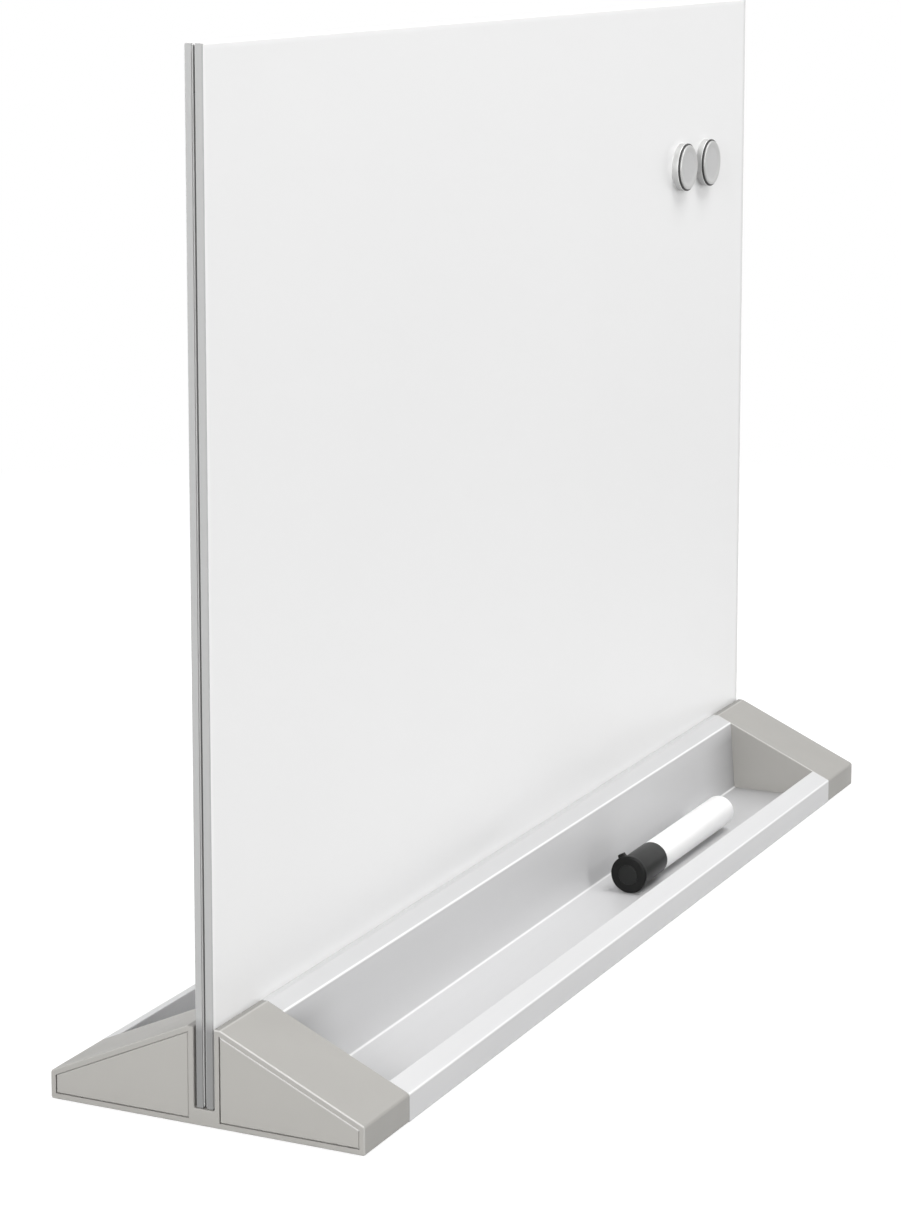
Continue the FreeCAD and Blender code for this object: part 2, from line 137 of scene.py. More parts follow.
# floor: half its side, its grey for light that bounces, the grey that takes the shadow and
# the glow added to that, and the distances between which it turns plain white
FLOOR_HALF = 6.0
FLOOR_BOUNCE = 0.35
FLOOR_SHADE = 0.32
FLOOR_GLOW = 0.82
FLOOR_FADE = (0.5, 1.3)


# settings


def colour(name, description, default):
    return FloatVectorProperty(
        name=name, description=description, default=default,
        subtype="COLOR", min=0.0, max=1.0,
    )


def length(name, description, default):
    return FloatProperty(
        name=name, description=description, default=default,
        min=0.0, precision=5, subtype="DISTANCE", unit="LENGTH",
    )


def strength(name, description, default):
    return FloatProperty(name=name, description=description, default=default, min=0.0)


def share(name, description, default):
    return FloatProperty(name=name, description=description, default=default, min=0.0, max=1.0)


def angle(name, description, degrees):
    return FloatProperty(
        name=name, description=description, default=math.radians(degrees),
        subtype="ANGLE", unit="ROTATION",
    )


def faces(name, description, default):
    return IntProperty(name=name, description=description, default=default, min=24, max=192)


class BaseSettings(bpy.types.PropertyGroup):
    """Finishes of the base."""

    profile_colour: colour("Profile", "Anodised aluminium profile", (0.624, 0.624, 0.629))
    cap_colour: colour("End caps", "Moulded end caps", (0.345, 0.336, 0.318))
    cover_colour: colour("Cover plates", "Plates let into the ends", (0.358, 0.349, 0.330))
    # painted highlight on the caps' edges, where their rounding would catch the light
    cap_highlight_colour: colour("Highlighted edge", "Cap edges polished by handling", (0.62, 0.615, 0.60))
    # painted highlight lines along the profile's edges and the cover plates' upper edges
    highlight_line_colour: colour(
        "Bright edge", "Polished edges of the profile and the plates", (0.93, 0.93, 0.93),
    )
    # painted shade on the flat strip beside the slot
    strip_shade: share("Strip shade", "How much darker the flat strip beside the slot is", 0.28)
    # painted shade on the profile between the slot and the tray
    ridge_shade: share(
        "Ridge shade", "How much darker the profile is between the slot and the tray", 0.10,
    )
    ledge_out: length("Ledge", "Outer edge of the flat strip, from the centre line", 0.0077)
    spine_out: length("Wall top", "Top edge of the tray wall, from the centre line", 0.0153)
    spine_foot: length("Wall foot", "Foot of the tray wall, from the centre line", 0.0180)
    tray_floor: length("Tray floor", "Height of the tray floor", 0.0021)
    tray_edge: length("Tray edge", "Outer edge of the tray, from the centre line", 0.0630)
    # painted shade in the tray's corners at its ends, and its reach
    tray_corner_shade: share("Tray gloom", "How much darker the tray is in the corners at its ends", 0.42)
    corner_shade_reach: length("Gloom reach", "Reach of the dark corners along the tray", 0.050)
    cap_length: length("Cap length", "Length of an end cap", 0.040)
    cover_drop: length("Cover drop", "Top edge of a cover plate below the sloping top", 0.0029)
    front_height: length("Front height", "Height of the sloping top at its outer edge", 0.0125)
    # reach of the painted highlights and of the edges of the painted shade
    painted_mark_width: length("Rub width", "Reach of the rubbed edges", 0.0007)
    # shares of the painted highlights: at the caps' back, along the fold, on the right cap's inner edge,
    # on the outer corners, on the plates and on the profile's outer edge
    back_highlight: share(
        "Back rub", "How much the back edges of the caps are rubbed, the front ones being 1", 0.15,
    )
    fold_highlight: share("Fold rub", "How much the caps are rubbed along the fold of the top", 0.35)
    inner_highlight: share("Inner rub", "How much the right cap's inner edge is rubbed", 0.8)
    corner_highlight: share("Corner rub", "How much the caps' outer corners are rubbed", 0.5)
    cover_highlight: share("Cover rub", "How bright the cover plates' upper edges are", 0.75)
    lip_highlight: share("Lip rub", "How bright the profile's outer edge is", 0.8)
    liner_colour: colour("Slot lining", "Soft lining of the slot", (0.55, 0.55, 0.54))
    foot_colour: colour("Feet", "Rubber feet", (0.035, 0.035, 0.035))
    screw_colour: colour("Screws", "Zinc-plated screws", (0.55, 0.56, 0.58))


class BoardSettings(bpy.types.PropertyGroup):
    """Finishes of the board."""

    paint_colour: colour("Paint", "White paint behind the glass", (0.88, 0.88, 0.88))
    border_colour: colour("Border", "Paint near the glass edge", (0.95, 0.95, 0.95))
    edge_colour: colour("Ground edge", "Ground edge of the glass", (0.37, 0.371, 0.37))
    border_width: length("Border width", "Lighter border inside the glass edge", 0.0028)
    # painted shade in a band at the glass's right end
    end_band: length("End band", "Reach of the dark band at the right end of the glass", 0.0040)
    end_shade: share("End shade", "How much darker the glass is at its right end", 0.22)
    edge_width: length("Edge width", "Reach of the ground edge", 0.0005)
    # painted shade on the ground ends in the slot
    slot_height: length("Slot height", "Height below which the slot darkens the ground ends", 0.042)
    slot_shade: share("Slot shade", "How much darker the ground ends are in the slot", 0.45)
    steel_colour: colour("Steel sheet", "Sheet behind each panel", (0.46, 0.46, 0.455))
    tape_colour: colour("Foam tape", "Tape between the sheets", (0.09, 0.09, 0.09))


class MagnetSettings(bpy.types.PropertyGroup):
    """Sizes and finishes of the two disc magnets."""

    plating_colour: colour("Plating", "Satin plating", (0.53, 0.53, 0.525))
    ring_colour: colour("Grip ring", "Rubber ring in the groove", (0.03, 0.03, 0.03))
    core_colour: colour("Core", "Nickel-plated magnet", (0.62, 0.60, 0.56))
    face_colour: colour("Face", "Satin floor of the dish", (0.55, 0.55, 0.55))
    groove_depth: length("Groove", "Depth of the groove that holds the ring", 0.0016)
    face_inset: length("Face inset", "Front rim inside the body's edge", 0.0008)
    face_rim: length("Face rim", "Width of the rim round the dish", 0.0014)
    dish_slope: length("Dish slope", "Width of the dish's sloping wall", 0.0022)
    dish_depth: length("Dish", "Depth of the dished front", 0.0005)
    edge_round: length("Edge round", "Rounding of the outer edges", 0.0003)
    fine_round: length("Fine round", "Rounding of the ring's rear edge and the core's edge", 0.0002)
    # painted highlights on the body's edges
    rim_highlight_colour: colour("Rim", "Edges of the body that catch the light", (0.95, 0.95, 0.95))
    rim_reach: length("Rim reach", "Reach of the bright edges", 0.0005)
    segments: faces("Segments", "Faces round the body and the ring", 128)
    core_segments: faces("Core segments", "Faces round the core", 96)


class MarkerSettings(bpy.types.PropertyGroup):
    """Sizes and finishes of the dry-wipe marker."""

    barrel_colour: colour("Barrel", "Gloss barrel", (0.94, 0.94, 0.935))
    cap_colour: colour("Cap", "Dark cap", (0.013, 0.0135, 0.013))
    nib_colour: colour("Nib", "Felt nib", (0.02, 0.02, 0.022))
    holder_colour: colour("Nib holder", "Plastic that holds the nib", (0.06, 0.06, 0.06))
    fibre_colour: colour("Reservoir", "Fibre of the ink reservoir", (0.75, 0.74, 0.70))
    wall: length("Wall", "Wall of the cap", 0.0012)
    end_wall: length("End wall", "Wall that closes the cap", 0.0020)
    collar_length: length("Collar", "Length of the collar", 0.0030)
    body_diameter: length("Cap body", "Diameter behind the collar", 0.0166)
    disc_diameter: length("Disc", "Diameter of the end disc", 0.0100)
    disc_height: length("Disc height", "Disc above the collar's face", 0.0005)
    fin_size: FloatVectorProperty(
        name="Fin",
        description="Length, width and height of the anti-roll fin, the height from the axis",
        default=(0.0046, 0.0034, 0.0108), subtype="XYZ_LENGTH", unit="LENGTH", precision=5,
    )
    fin_slope: length("Fin slope", "Lean of the fin's two ends", 0.0010)
    fin_set_back: length("Fin set-back", "Fin behind the collar's face", 0.0003)
    fin_round: length("Fin round", "Rounding of the fin's edges", 0.0004)
    collar_round: length("Collar round", "Rounding of the collar's front edge", 0.0007)
    fine_round: length("Fine round", "Rounding of the cap's other edges", 0.0002)
    mouth_round: length("Mouth round", "Rounding of the barrel's mouth", 0.0003)
    collar_shade: share(
        "Collar shade", "How much darker the collar is than the disc on its face", 0.55,
    )
    barrel_wall: length("Barrel wall", "Wall of the barrel", 0.0016)
    barrel_end_wall: length("Barrel end", "Wall that closes the barrel", 0.0030)
    barrel_end_round: length("Barrel end round", "Rounding of the barrel's rear", 0.0030)
    fin_tilt: angle("Fin tilt", "Turn of the fin towards the board", 27.0)
    segments: faces("Segments", "Faces round a turned piece", 96)


class StageSettings(bpy.types.PropertyGroup):
    """Camera, lamps and floor."""

    camera_place: FloatVectorProperty(
        name="Camera", description="Place of the camera",
        default=(-1.3836, -0.6291, 0.4938), subtype="TRANSLATION", unit="LENGTH",
    )
    camera_turn: angle("Turn", "Viewing direction, from the board's length towards the back", 25.573)
    camera_drop: angle("Drop", "Viewing direction below level", 8.228)
    lens: FloatProperty(name="Lens", description="Focal length in millimetres", default=96.17, min=10.0)
    shift: FloatProperty(name="Shift", description="Upward shift of the view", default=-0.2)
    ambient: strength("Ambient", "Light from all round", 0.23)
    side_light: strength("Side light", "Extra soft light from straight right", 1.3)
    overhead: strength("Overhead", "Power of the lamp above, in watts", 59.0)
    front: strength("Front", "Power of the lamp in front, in watts", 26.0)
    left: strength("Left", "Power of the low lamp at the left, in watts", 70.0)
    back: strength("Back", "Power of the lamp at the left, behind, in watts", 21.0)
    rear: strength("Rear", "Power of the low lamp behind the board, in watts", 26.0)


# shader node helpers


def put(tree, value, socket):
    """Links a socket into another one, or sets the value there."""
    if isinstance(value, bpy.types.NodeSocket):
        tree.links.new(value, socket)
    else:
        socket.default_value = value


def node(tree, kind, inputs=(), **settings):
    """Adds a node; inputs are (name or number, socket or value)."""
    made = tree.nodes.new(kind)
    for key, value in settings.items():
        setattr(made, key, value)
    for key, value in inputs:
        put(tree, value, made.inputs[key])
    return made


def maths(tree, operation, first, second=0.0):
    return node(tree, "ShaderNodeMath", [(0, first), (1, second)], operation=operation).outputs[0]


def product(tree, first, second):
    return maths(tree, "MULTIPLY", first, second)


def vector_maths(tree, operation, first, second=(0.0, 0.0, 0.0)):
    """Works on vectors; gives a number for DISTANCE and LENGTH, and otherwise a vector."""
    made = node(tree, "ShaderNodeVectorMath", [(0, first), (1, second)], operation=operation)
    return made.outputs["Value" if operation in ("DISTANCE", "LENGTH") else "Vector"]


def mixed(tree, factor, first, second):
    """Mixes two colours."""
    made = tree.nodes.new("ShaderNodeMix")
    made.data_type = "RGBA"
    for number, value in zip(MIX_INPUTS, (factor, first, second)):
        if isinstance(value, (tuple, bpy.types.bpy_prop_array)):
            value = (*value, 1.0)
        put(tree, value, made.inputs[number])
    return made.outputs[MIX_OUTPUT]


def darkened(tree, amount, shade):
    return mixed(tree, amount, shade, BLACK)


def remapped(tree, value, low, high, start=0.0, end=1.0):
    """Maps a value between two others to low and high."""
    made = node(tree, "ShaderNodeMapRange", [
        ("Value", value), ("From Min", start), ("From Max", end), ("To Min", low), ("To Max", high),
    ])
    return made.outputs[0]


def faded(tree, distance, reach, full=1.0):
    """Full at a distance of 0, fading to 0 at a reach."""
    return remapped(tree, distance, full, 0.0, 0.0, reach)


def noise(tree, vector, scale, detail=2.0):
    made = node(tree, "ShaderNodeTexNoise", [("Vector", vector), ("Scale", scale), ("Detail", detail)])
    return made.outputs[0]


def place_of(tree):
    """The point on the piece, in its own metres."""
    return tree.nodes.new("ShaderNodeTexCoord").outputs["Object"]


def split(tree, vector):
    """The X, Y and Z of a vector."""
    return node(tree, "ShaderNodeSeparateXYZ", [(0, vector)]).outputs


def from_axis(tree, centre, across):
    """The point's X, Y and Z from a centre, and its distance from an axis through the centre.

    across is 1 for the directions across the axis and 0 along it.
    """
    shifted = node(tree, "ShaderNodeMapping", [("Vector", place_of(tree)), ("Location", -centre)])
    flat = vector_maths(tree, "MULTIPLY", shifted.outputs[0], across)
    return split(tree, shifted.outputs[0]), vector_maths(tree, "LENGTH", flat)


def shared_group(name, inputs, outputs, fill):
    """Node group of a name, filled by fill(group, given, wanted) when it is first asked for.

    inputs are (name, default); every socket is a number.
    """
    if name in bpy.data.node_groups:
        return bpy.data.node_groups[name]
    group = bpy.data.node_groups.new(name, "ShaderNodeTree")
    for label, default in inputs:
        socket = group.interface.new_socket(label, in_out="INPUT", socket_type="NodeSocketFloat")
        socket.default_value = default
    for label in outputs:
        group.interface.new_socket(label, in_out="OUTPUT", socket_type="NodeSocketFloat")
    given = group.nodes.new("NodeGroupInput").outputs
    fill(group, given, group.nodes.new("NodeGroupOutput").inputs)
    return group


def grain_group():
    """Fine moulded grain: a height, and slow blotches for tone."""
    def fill(group, given, wanted):
        here = place_of(group)
        put(group, noise(group, here, given["Grain"], detail=3.0), wanted["Height"])
        put(group, noise(group, here, given["Blotch"], detail=4.0), wanted["Tone"])

    return shared_group("Moulded grain", [("Grain", 3000.0), ("Blotch", 60.0)], ["Height", "Tone"], fill)


def drawn_group():
    """Lines that a die leaves along a drawn or rolled metal, running along X."""
    def fill(group, given, wanted):
        stretch = node(group, "ShaderNodeCombineXYZ", [
            ("X", given["Along"]), ("Y", given["Across"]), ("Z", given["Across"]),
        ]).outputs[0]
        drawn = vector_maths(group, "MULTIPLY", place_of(group), stretch)
        fine = noise(group, drawn, 1.0, detail=3.0)
        broad = noise(group, drawn, BROAD_SCALE)
        fine_part = product(group, fine, FINE_SHARE)
        broad_part = product(group, broad, 1.0 - FINE_SHARE)
        put(group, maths(group, "ADD", fine_part, broad_part), wanted["Height"])
        put(group, broad, wanted["Tone"])

    return shared_group("Drawn lines", [("Across", 900.0), ("Along", 5.0)], ["Height", "Tone"], fill)


def handled_group():
    """Smudges from handling, as a roughness between two values."""
    def fill(group, given, wanted):
        smudge = noise(group, place_of(group), given["Size"], detail=5.0)
        spread = remapped(group, smudge, given["Low"], given["High"], *SMUDGE_RANGE)
        put(group, spread, wanted["Roughness"])

    return shared_group("Handling", [("Size", 25.0), ("Low", 0.3), ("High", 0.4)], ["Roughness"], fill)


def slope_group():
    """Depth of a point below the base's ledge and sloping top, and its place beyond the ledge."""
    def fill(group, given, wanted):
        parts = split(group, place_of(group))
        beyond = maths(group, "SUBTRACT", maths(group, "ABSOLUTE", parts["Y"]), given["Ledge"])
        drop = product(group, maths(group, "MAXIMUM", beyond, 0.0), given["Fall"])
        level = maths(group, "SUBTRACT", given["Top"], drop)
        put(group, maths(group, "SUBTRACT", level, parts["Z"]), wanted["Depth"])
        put(group, beyond, wanted["Beyond Ledge"])

    return shared_group("Below the slope", [("Top", 0.04), ("Ledge", 0.01), ("Fall", 0.5)],
                        ["Depth", "Beyond Ledge"], fill)


def line_group():
    """Mask of a painted highlight line: 1 on a line along X, fading to 0 at a reach from it; the same on
    both sides of the board.
    """
    def fill(group, given, wanted):
        parts = split(group, place_of(group))
        out = maths(group, "ABSOLUTE", parts["Y"])
        here = node(group, "ShaderNodeCombineXYZ", [("X", out), ("Y", parts["Z"])])
        line = node(group, "ShaderNodeCombineXYZ", [("X", given["Out"]), ("Y", given["Height"])])
        off = vector_maths(group, "DISTANCE", here.outputs[0], line.outputs[0])
        put(group, faded(group, off, given["Reach"]), wanted["Rub"])

    return shared_group("Rubbed line", [("Out", 0.01), ("Height", 0.01), ("Reach", 0.001)],
                        ["Rub"], fill)


def use_group(tree, group, **values):
    made = tree.nodes.new("ShaderNodeGroup")
    made.node_tree = group
    for label, value in values.items():
        put(tree, value, made.inputs[label])
    return made.outputs


def handled(tree, finish, size=25.0):
    """Roughness of a finish, uneven from handling."""
    low, high = ROUGHNESS[finish]
    return use_group(tree, handled_group(), Low=low, High=high, Size=size)["Roughness"]


def new_material(name, **constants):
    """Material with a Principled shader whose own sockets hold the constants."""
    material = bpy.data.materials.new(name)
    material.use_nodes = True
    tree = material.node_tree
    shader = tree.nodes["Principled BSDF"]
    for label, value in constants.items():
        shader.inputs[label.replace("_", " ")].default_value = value
    return material, tree, shader


def shaded(base, amount):
    """A colour made darker by a share."""
    return tuple(channel * (1.0 - amount) for channel in base)


def bump(tree, shader, height, distance):
    made = node(tree, "ShaderNodeBump", [("Height", height), ("Strength", 1.0), ("Distance", distance)])
    put(tree, made.outputs[0], shader.inputs["Normal"])


# marks on the base and on the marker's cap


def from_end(tree, end, start, reach):
    """1 near the outer end faces of the base, fading to 0 at a reach behind them."""
    along = split(tree, place_of(tree))["X"]
    behind = maths(tree, "SUBTRACT", end, maths(tree, "ABSOLUTE", along))
    return remapped(tree, behind, 1.0, 0.0, start, reach)


def to_front(tree, back):
    """1 on the front half of the base and another value on the back half."""
    return remapped(tree, split(tree, place_of(tree))["Y"], 1.0, back, -MIDDLE_FADE, MIDDLE_FADE)


def fall_of(look, high):
    """Fall of the sloping top for each metre outwards."""
    return (high.z - look.front_height) / (high.y - look.ledge_out)


def below_slope(tree, look, high):
    """Depth below the sloping top, and distance out from the ledge's edge."""
    return use_group(tree, slope_group(), Top=high.z, Ledge=look.ledge_out, Fall=fall_of(look, high))


def cap_marks(look, low, high):
    """Painted marks of an end cap: painted shade on the strip beside the slot, and painted highlights on
    its edges.
    """
    end = max(abs(low.x), abs(high.x))
    inner_end = end - look.cap_length
    outer = high.y - look.ledge_out

    def marked(tree, shade):
        slope = below_slope(tree, look, high)
        beyond = slope["Beyond Ledge"]
        on_top = faded(tree, slope["Depth"], look.painted_mark_width)
        # painted shade on the flat strip beside the slot
        strip = product(tree, remapped(tree, beyond, 1.0, 0.0, -look.painted_mark_width, 0.0), on_top)
        shade = darkened(tree, product(tree, strip, look.strip_shade), shade)
        lines = faded(tree, maths(tree, "ABSOLUTE", beyond), look.painted_mark_width, look.fold_highlight)
        # only the right cap's inner edge gets a painted highlight line; the left cap's shows none
        if low.x > 0.0:
            along = split(tree, place_of(tree))["X"]
            inner = remapped(tree, along, look.inner_highlight, 0.0, inner_end, inner_end + look.painted_mark_width)
            lines = maths(tree, "MAXIMUM", lines, inner)
        # painted highlights on the end faces' edges, along the fold and on the outer corners, fainter at
        # the back
        at_end = from_end(tree, end, 0.0, look.painted_mark_width)
        edges = product(tree, maths(tree, "MAXIMUM", at_end, lines), on_top)
        at_corner = remapped(tree, beyond, 0.0, look.corner_highlight, outer - look.painted_mark_width, outer)
        marks = maths(tree, "MAXIMUM", edges, product(tree, at_corner, at_end))
        highlighted = product(tree, marks, to_front(tree, look.back_highlight))
        return mixed(tree, highlighted, shade, tuple(look.cap_highlight_colour))

    return marked


def cover_marks(look, low, high):
    """Mark of a cover plate: a painted highlight along its upper edge. The corners are those of the end
    cap.
    """
    end = max(abs(low.x), abs(high.x))

    def marked(tree, shade):
        depth = maths(tree, "SUBTRACT", below_slope(tree, look, high)["Depth"], look.cover_drop)
        # painted highlight along the plate's upper edge, fainter at the back
        upper = faded(tree, depth, look.painted_mark_width)
        near_end = from_end(tree, end, 0.5 * look.painted_mark_width, 1.5 * look.painted_mark_width)
        highlighted = product(tree, product(tree, upper, near_end), to_front(tree, look.back_highlight))
        return mixed(tree, product(tree, highlighted, look.cover_highlight), shade, tuple(look.highlight_line_colour))

    return marked


def profile_marks(look, high):
    """Painted marks of the profile: painted shade on the ridge and in the tray's corners at the ends,
    and painted highlight lines on its edges.
    """
    wall_top = high.z - fall_of(look, high) * (look.spine_out - look.ledge_out)
    lines = (
        (look.spine_out, wall_top, 1.0),
        (look.spine_foot, look.tray_floor, 1.0),
        (high.y, look.front_height, look.lip_highlight),
    )

    def marked(tree, shade):
        out = maths(tree, "ABSOLUTE", split(tree, place_of(tree))["Y"])
        inside = look.spine_out - look.painted_mark_width
        # painted shade on the ridge beside the slot
        shade = darkened(tree, remapped(tree, out, look.ridge_shade, 0.0, inside, look.spine_out), shade)
        # painted shade in the tray's corners at both ends
        past_wall = remapped(tree, out, 0.0, 1.0, look.spine_out, look.spine_out + look.painted_mark_width)
        before_lip = remapped(tree, out, 1.0, 0.0, look.tray_edge - look.painted_mark_width, look.tray_edge)
        in_tray = product(tree, past_wall, before_lip)
        corner = maths(tree, "POWER", from_end(tree, high.x, 0.0, look.corner_shade_reach), CORNER_SHADE_CURVE)
        shade_in_corners = product(tree, in_tray, product(tree, corner, look.tray_corner_shade))
        shade = darkened(tree, shade_in_corners, shade)
        # painted highlight lines along the wall's top, the wall's foot and the lip's outer edge
        reach = LINE_SPREAD * look.painted_mark_width
        for line_out, height, amount in lines:
            glint = use_group(tree, line_group(), Out=line_out, Height=height, Reach=reach)["Rub"]
            shade = mixed(tree, product(tree, glint, amount), shade, tuple(look.highlight_line_colour))
        return shade

    return marked


def collar_marks(look, centre):
    """Mark of the marker's cap: its collar darker than the disc; centre is the closed end's."""
    disc = look.disc_diameter / 2

    def marked(tree, shade):
        parts, radius = from_axis(tree, centre, (0.0, 1.0, 1.0))
        outside = remapped(tree, radius, 0.0, look.collar_shade, disc, disc + look.disc_height)
        behind = look.collar_length + look.disc_height
        before = remapped(tree, parts["X"], 1.0, 0.0, look.collar_length, behind)
        return darkened(tree, product(tree, outside, before), shade)

    return marked


# materials


def moulded(name, base, finish, grain=3000.0, depth=6e-6, tone=0.04, marked=None, **constants):
    """Moulded plastic or rubber with a fine grain and slow variation in tone.

    marked(tree, colour) may add marks to the colour.
    """
    material, tree, shader = new_material(name, **constants)
    texture = use_group(tree, grain_group(), Grain=grain)
    shade = mixed(tree, texture["Tone"], tuple(base), shaded(base, tone))
    put(tree, marked(tree, shade) if marked else shade, shader.inputs["Base Color"])
    put(tree, handled(tree, finish), shader.inputs["Roughness"])
    bump(tree, shader, texture["Height"], depth)
    return material


def drawn_metal(name, base, finish, across=900.0, depth=4e-6, tone=0.05, marked=None, **constants):
    """Metal with the lines of its drawing or rolling; marked(tree, colour) may add marks."""
    material, tree, shader = new_material(name, **constants)
    lines = use_group(tree, drawn_group(), Across=across)
    shade = mixed(tree, lines["Tone"], tuple(base), shaded(base, tone))
    put(tree, marked(tree, shade) if marked else shade, shader.inputs["Base Color"])
    put(tree, handled(tree, finish, size=12.0), shader.inputs["Roughness"])
    bump(tree, shader, lines["Height"], depth)
    return material


def edge_distances(tree, low, high):
    """Distances from a panel's nearer end and from its nearer long edge, in metres."""
    parts = split(tree, place_of(tree))
    found = []
    for axis, socket in ((0, parts["X"]), (2, parts["Z"])):
        middle = (low[axis] + high[axis]) / 2
        half = (high[axis] - low[axis]) / 2
        off = maths(tree, "ABSOLUTE", maths(tree, "SUBTRACT", socket, middle))
        found.append(maths(tree, "SUBTRACT", half, off))
    return found


def ground_edge(tree, board, from_ends, high):
    """Colour of the ground edge: pale along the top, greyer at the ends, and with painted shade in the
    slot.
    """
    up = split(tree, place_of(tree))["Z"]
    at_top = remapped(tree, up, 0.0, 1.0, high.z - board.border_width, high.z - board.edge_width)
    pale_start = PALE_REACH * board.edge_width
    along_top = remapped(tree, from_ends, 0.0, 1.0, board.edge_width, pale_start)
    pale = product(tree, at_top, along_top)
    edge = mixed(tree, pale, tuple(board.edge_colour), tuple(board.border_colour))
    # painted shade on the ground ends in the slot
    below, above = board.slot_height - SLOT_FADE[0], board.slot_height + SLOT_FADE[1]
    in_slot = remapped(tree, up, board.slot_shade, 0.0, below, above)
    return darkened(tree, in_slot, edge)


def painted_glass(name, board, panel):
    """White back-painted glass: clear gloss on the face, ground and matt round the edge."""
    material, tree, shader = new_material(name, Coat_Roughness=0.25, IOR=1.52)
    low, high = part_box(panel)
    from_ends, from_sides = edge_distances(tree, low, high)
    inside = maths(tree, "MINIMUM", from_ends, from_sides)
    ground = remapped(tree, inside, 1.0, 0.0, GROUND_START * board.edge_width, board.edge_width)
    border = faded(tree, inside, board.border_width)
    cloud = use_group(tree, grain_group(), Blotch=CLOUD_SIZE)["Tone"]
    paint = mixed(tree, cloud, tuple(board.paint_colour), shaded(board.paint_colour, CLOUD_SHADE))
    face = mixed(tree, border, paint, tuple(board.border_colour))
    # painted shade in a band at the glass's right end
    along = split(tree, place_of(tree))["X"]
    dark_start, dark_full = high.x - board.end_band, high.x - board.end_band / 3
    face = darkened(tree, remapped(tree, along, 0.0, board.end_shade, dark_start, dark_full), face)
    edge = ground_edge(tree, board, from_ends, high)
    put(tree, mixed(tree, ground, face, edge), shader.inputs["Base Color"])
    rough = maths(tree, "ADD", handled(tree, "glass", size=9.0), product(tree, ground, EXTRA_ROUGHNESS))
    put(tree, rough, shader.inputs["Roughness"])
    put(tree, remapped(tree, ground, GLASS_COAT, 0.0), shader.inputs["Coat Weight"])
    return material


def turned_metal(name, base, finish, look, centre, face=None, face_radius=0.0, rims=()):
    """Polished metal with fine rings round a magnet's axis, and a satin face out to a radius.

    The rims are heights above the panel at which an edge gets a painted highlight.
    """
    material, tree, shader = new_material(name, Metallic=0.35)
    parts, radius = from_axis(tree, centre, (1.0, 0.0, 1.0))
    rings = node(tree, "ShaderNodeTexNoise", [("W", radius), ("Scale", TURNING_RINGS), ("Detail", 2.0)],
                 noise_dimensions="1D").outputs[0]
    tone = mixed(tree, rings, tuple(base), shaded(base, RING_SHADE))
    rough = handled(tree, finish, size=120.0)
    # painted highlights on the body's edges at the given heights
    for rim in rims:
        off = maths(tree, "ABSOLUTE", maths(tree, "ADD", parts["Y"], rim))
        tone = mixed(tree, faded(tree, off, look.rim_reach), tone, tuple(look.rim_highlight_colour))
    if face:
        satin = remapped(tree, radius, 1.0, 0.0, face_radius, face_radius * FACE_FADE)
        tone = mixed(tree, satin, tone, mixed(tree, rings, tuple(face), shaded(face, FACE_RING_SHADE)))
        rough = maths(tree, "ADD", rough, product(tree, satin, EXTRA_ROUGHNESS))
    put(tree, tone, shader.inputs["Base Color"])
    put(tree, rough, shader.inputs["Roughness"])
    bump(tree, shader, rings, RING_DEPTH)
    return material


def dress(material, *names):
    """Gives CAD nodes a material through their objects' slots."""
    for name in names:
        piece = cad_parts[name]
        if not piece.data.materials:
            piece.data.materials.append(None)
        for place in piece.material_slots:
            place.link = "OBJECT"
            place.material = material


# mesh helpers


def loop_at(mesh, along, radius):
    """Edges of the ring at a place along the axis and a distance from it."""
    def lies(point):
        return (abs(point.co.x - along) < SAME_PLACE
                and abs(math.hypot(point.co.y, point.co.z) - radius) < SAME_PLACE)
    return [edge for edge in mesh.edges if all(lies(point) for point in edge.verts)]


def turned(outline, segments, rounds=(), closed=False):
    """Mesh turned about X from (along, radius) points; rounds are (point number, size)."""
    mesh = bmesh.new()
    points = [mesh.verts.new((along, radius, 0.0)) for along, radius in outline]
    pairs = list(zip(points, points[1:]))
    if closed:
        pairs.append((points[-1], points[0]))
    for pair in pairs:
        mesh.edges.new(pair)
    bmesh.ops.spin(
        mesh, geom=mesh.verts[:] + mesh.edges[:], cent=(0, 0, 0), axis=(1, 0, 0), dvec=(0, 0, 0),
        angle=math.tau, steps=segments, use_merge=True, use_duplicate=False,
    )
    bmesh.ops.remove_doubles(mesh, verts=mesh.verts, dist=SAME_PLACE)
    for number, size in rounds:
        bmesh.ops.bevel(
            mesh, geom=loop_at(mesh, *outline[number]), offset=size, offset_type="OFFSET",
            segments=ROUND_FACES, profile=0.5, affect="EDGES", material=-1,
        )
    return mesh


def as_piece(mesh, name, place, material, body, replaced):
    """Puts a mesh in its place as a finished piece that stands for a CAD node."""
    bmesh.ops.transform(mesh, matrix=place, verts=mesh.verts)
    bmesh.ops.recalc_face_normals(mesh, faces=mesh.faces)
    data = bpy.data.meshes.new(name)
    for face in mesh.faces:
        face.smooth = True
    mesh.to_mesh(data)
    mesh.free()
    data.set_sharp_from_angle(angle=SHARP_ANGLE)
    data.materials.append(material)
    piece = bpy.data.objects.new(name, data)
    bpy.context.scene.collection.objects.link(piece)
    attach(piece, body)
    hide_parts(replaced)
    return piece


# operators


